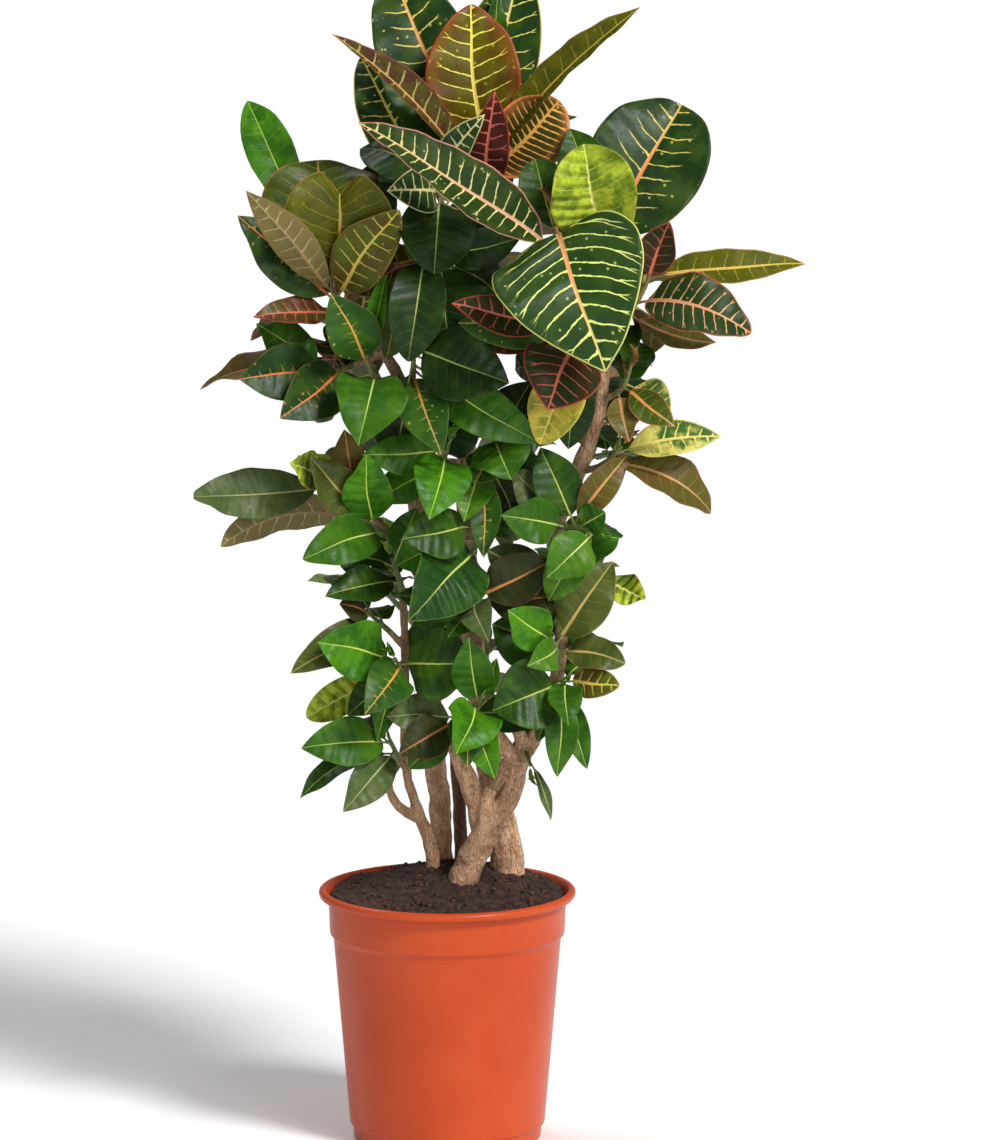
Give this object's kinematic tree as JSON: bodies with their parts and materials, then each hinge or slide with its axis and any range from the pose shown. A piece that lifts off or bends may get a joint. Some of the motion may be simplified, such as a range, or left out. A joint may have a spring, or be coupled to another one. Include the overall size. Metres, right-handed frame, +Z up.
{
  "type": "potted croton",
  "caption": "Bushy potted croton with woody stems and broad, yellow-veined green, bronze and lime leaves, standing in a round terracotta-coloured plastic nursery pot filled with soil.",
  "frame": {"origin": "centre of the pot's flat underside, on the floor", "axes": "+Z up the plant, -Y towards the viewer of the front, +X to the viewer's right"},
  "size_m": [0.6105, 0.4201, 1.1789],
  "materials": {
    "pot_plastic": "satin",
    "soil": "matte",
    "bark": "matte",
    "dark_bark": "matte",
    "green_leaf": "satin",
    "dark_leaf": "satin",
    "bronze_leaf": "satin"
  },
  "bodies": {
    "root": {"pot": "pot_plastic", "soil": "soil", "stem_back": "bark", "stem_dark": "dark_bark", "stem_left": "bark", "stem_middle": "bark", "stem_right": "bark", "shoot_back_high": "dark_leaf", "shoot_back_left": "bronze_leaf", "shoot_back_left_low": "green_leaf", "shoot_back_low": "green_leaf", "shoot_back_mid": "dark_leaf", "shoot_back_right": "green_leaf", "shoot_back_right_low": "green_leaf", "shoot_centre_high": "dark_leaf", "shoot_centre_low": "green_leaf", "shoot_centre_mid_a": "green_leaf", "shoot_centre_mid_b": "green_leaf", "shoot_centre_right": "bronze_leaf", "shoot_centre_top": "dark_leaf", "shoot_front_low": "green_leaf", "shoot_hanging": "green_leaf", "shoot_heart": "dark_leaf", "shoot_left_foot": "green_leaf", "shoot_left_front": "green_leaf", "shoot_left_low_a": "bronze_leaf", "shoot_left_low_b": "green_leaf", "shoot_left_mid_a": "green_leaf", "shoot_left_mid_b": "dark_leaf", "shoot_left_side": "green_leaf", "shoot_left_top": "bronze_leaf", "shoot_left_upright": "dark_leaf", "shoot_right_foot_a": "green_leaf", "shoot_right_foot_b": "green_leaf", "shoot_right_inner": "dark_leaf", "shoot_right_knee": "green_leaf", "shoot_right_low": "bronze_leaf", "shoot_right_mid_a": "green_leaf", "shoot_right_mid_b": "bronze_leaf", "shoot_right_side": "green_leaf", "shoot_right_top": "bronze_leaf", "shoot_top": "bronze_leaf", "shoot_top_low": "dark_leaf"}
  },
  "joints": []
}
